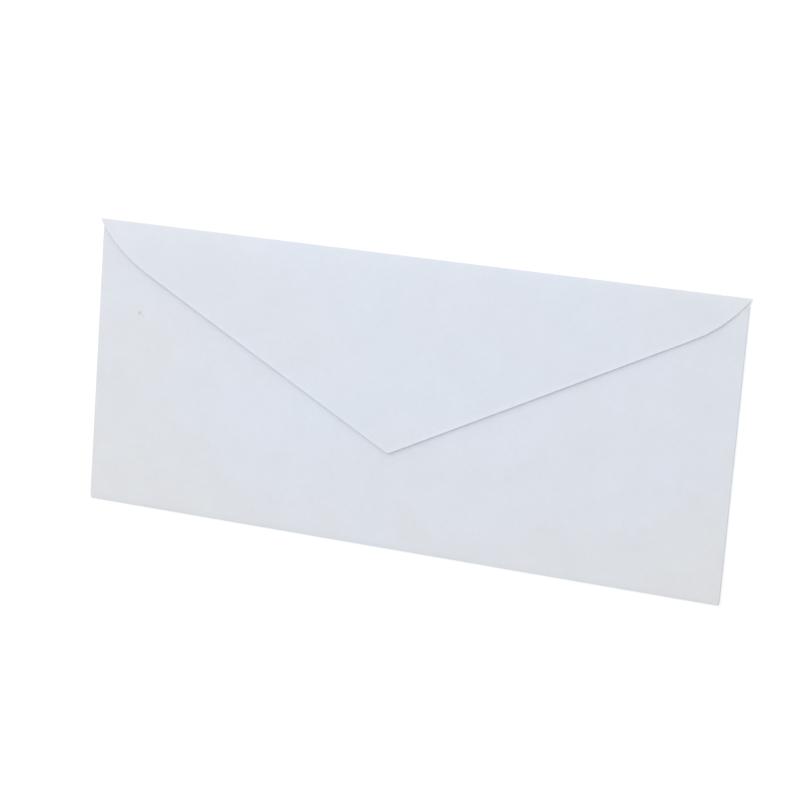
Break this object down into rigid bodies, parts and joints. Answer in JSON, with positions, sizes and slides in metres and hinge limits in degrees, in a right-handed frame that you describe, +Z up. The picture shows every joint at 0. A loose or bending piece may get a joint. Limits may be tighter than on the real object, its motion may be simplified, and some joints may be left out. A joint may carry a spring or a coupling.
{
  "type": "paper envelope",
  "caption": "Long white commercial paper envelope, closed, with a pointed flap folded over the back panel and soft creases along the folds.",
  "frame": {"origin": "on the table, under the middle of the envelope as it lies address side down", "axes": "+X along the long side, +Y from the bottom fold to the seal flap's fold, +Z up, out of the flap side"},
  "size_m": [0.2426, 0.1048, 0.0013],
  "materials": {
    "paper": "matte"
  },
  "bodies": {
    "root": {"envelope": "paper"}
  },
  "joints": []
}
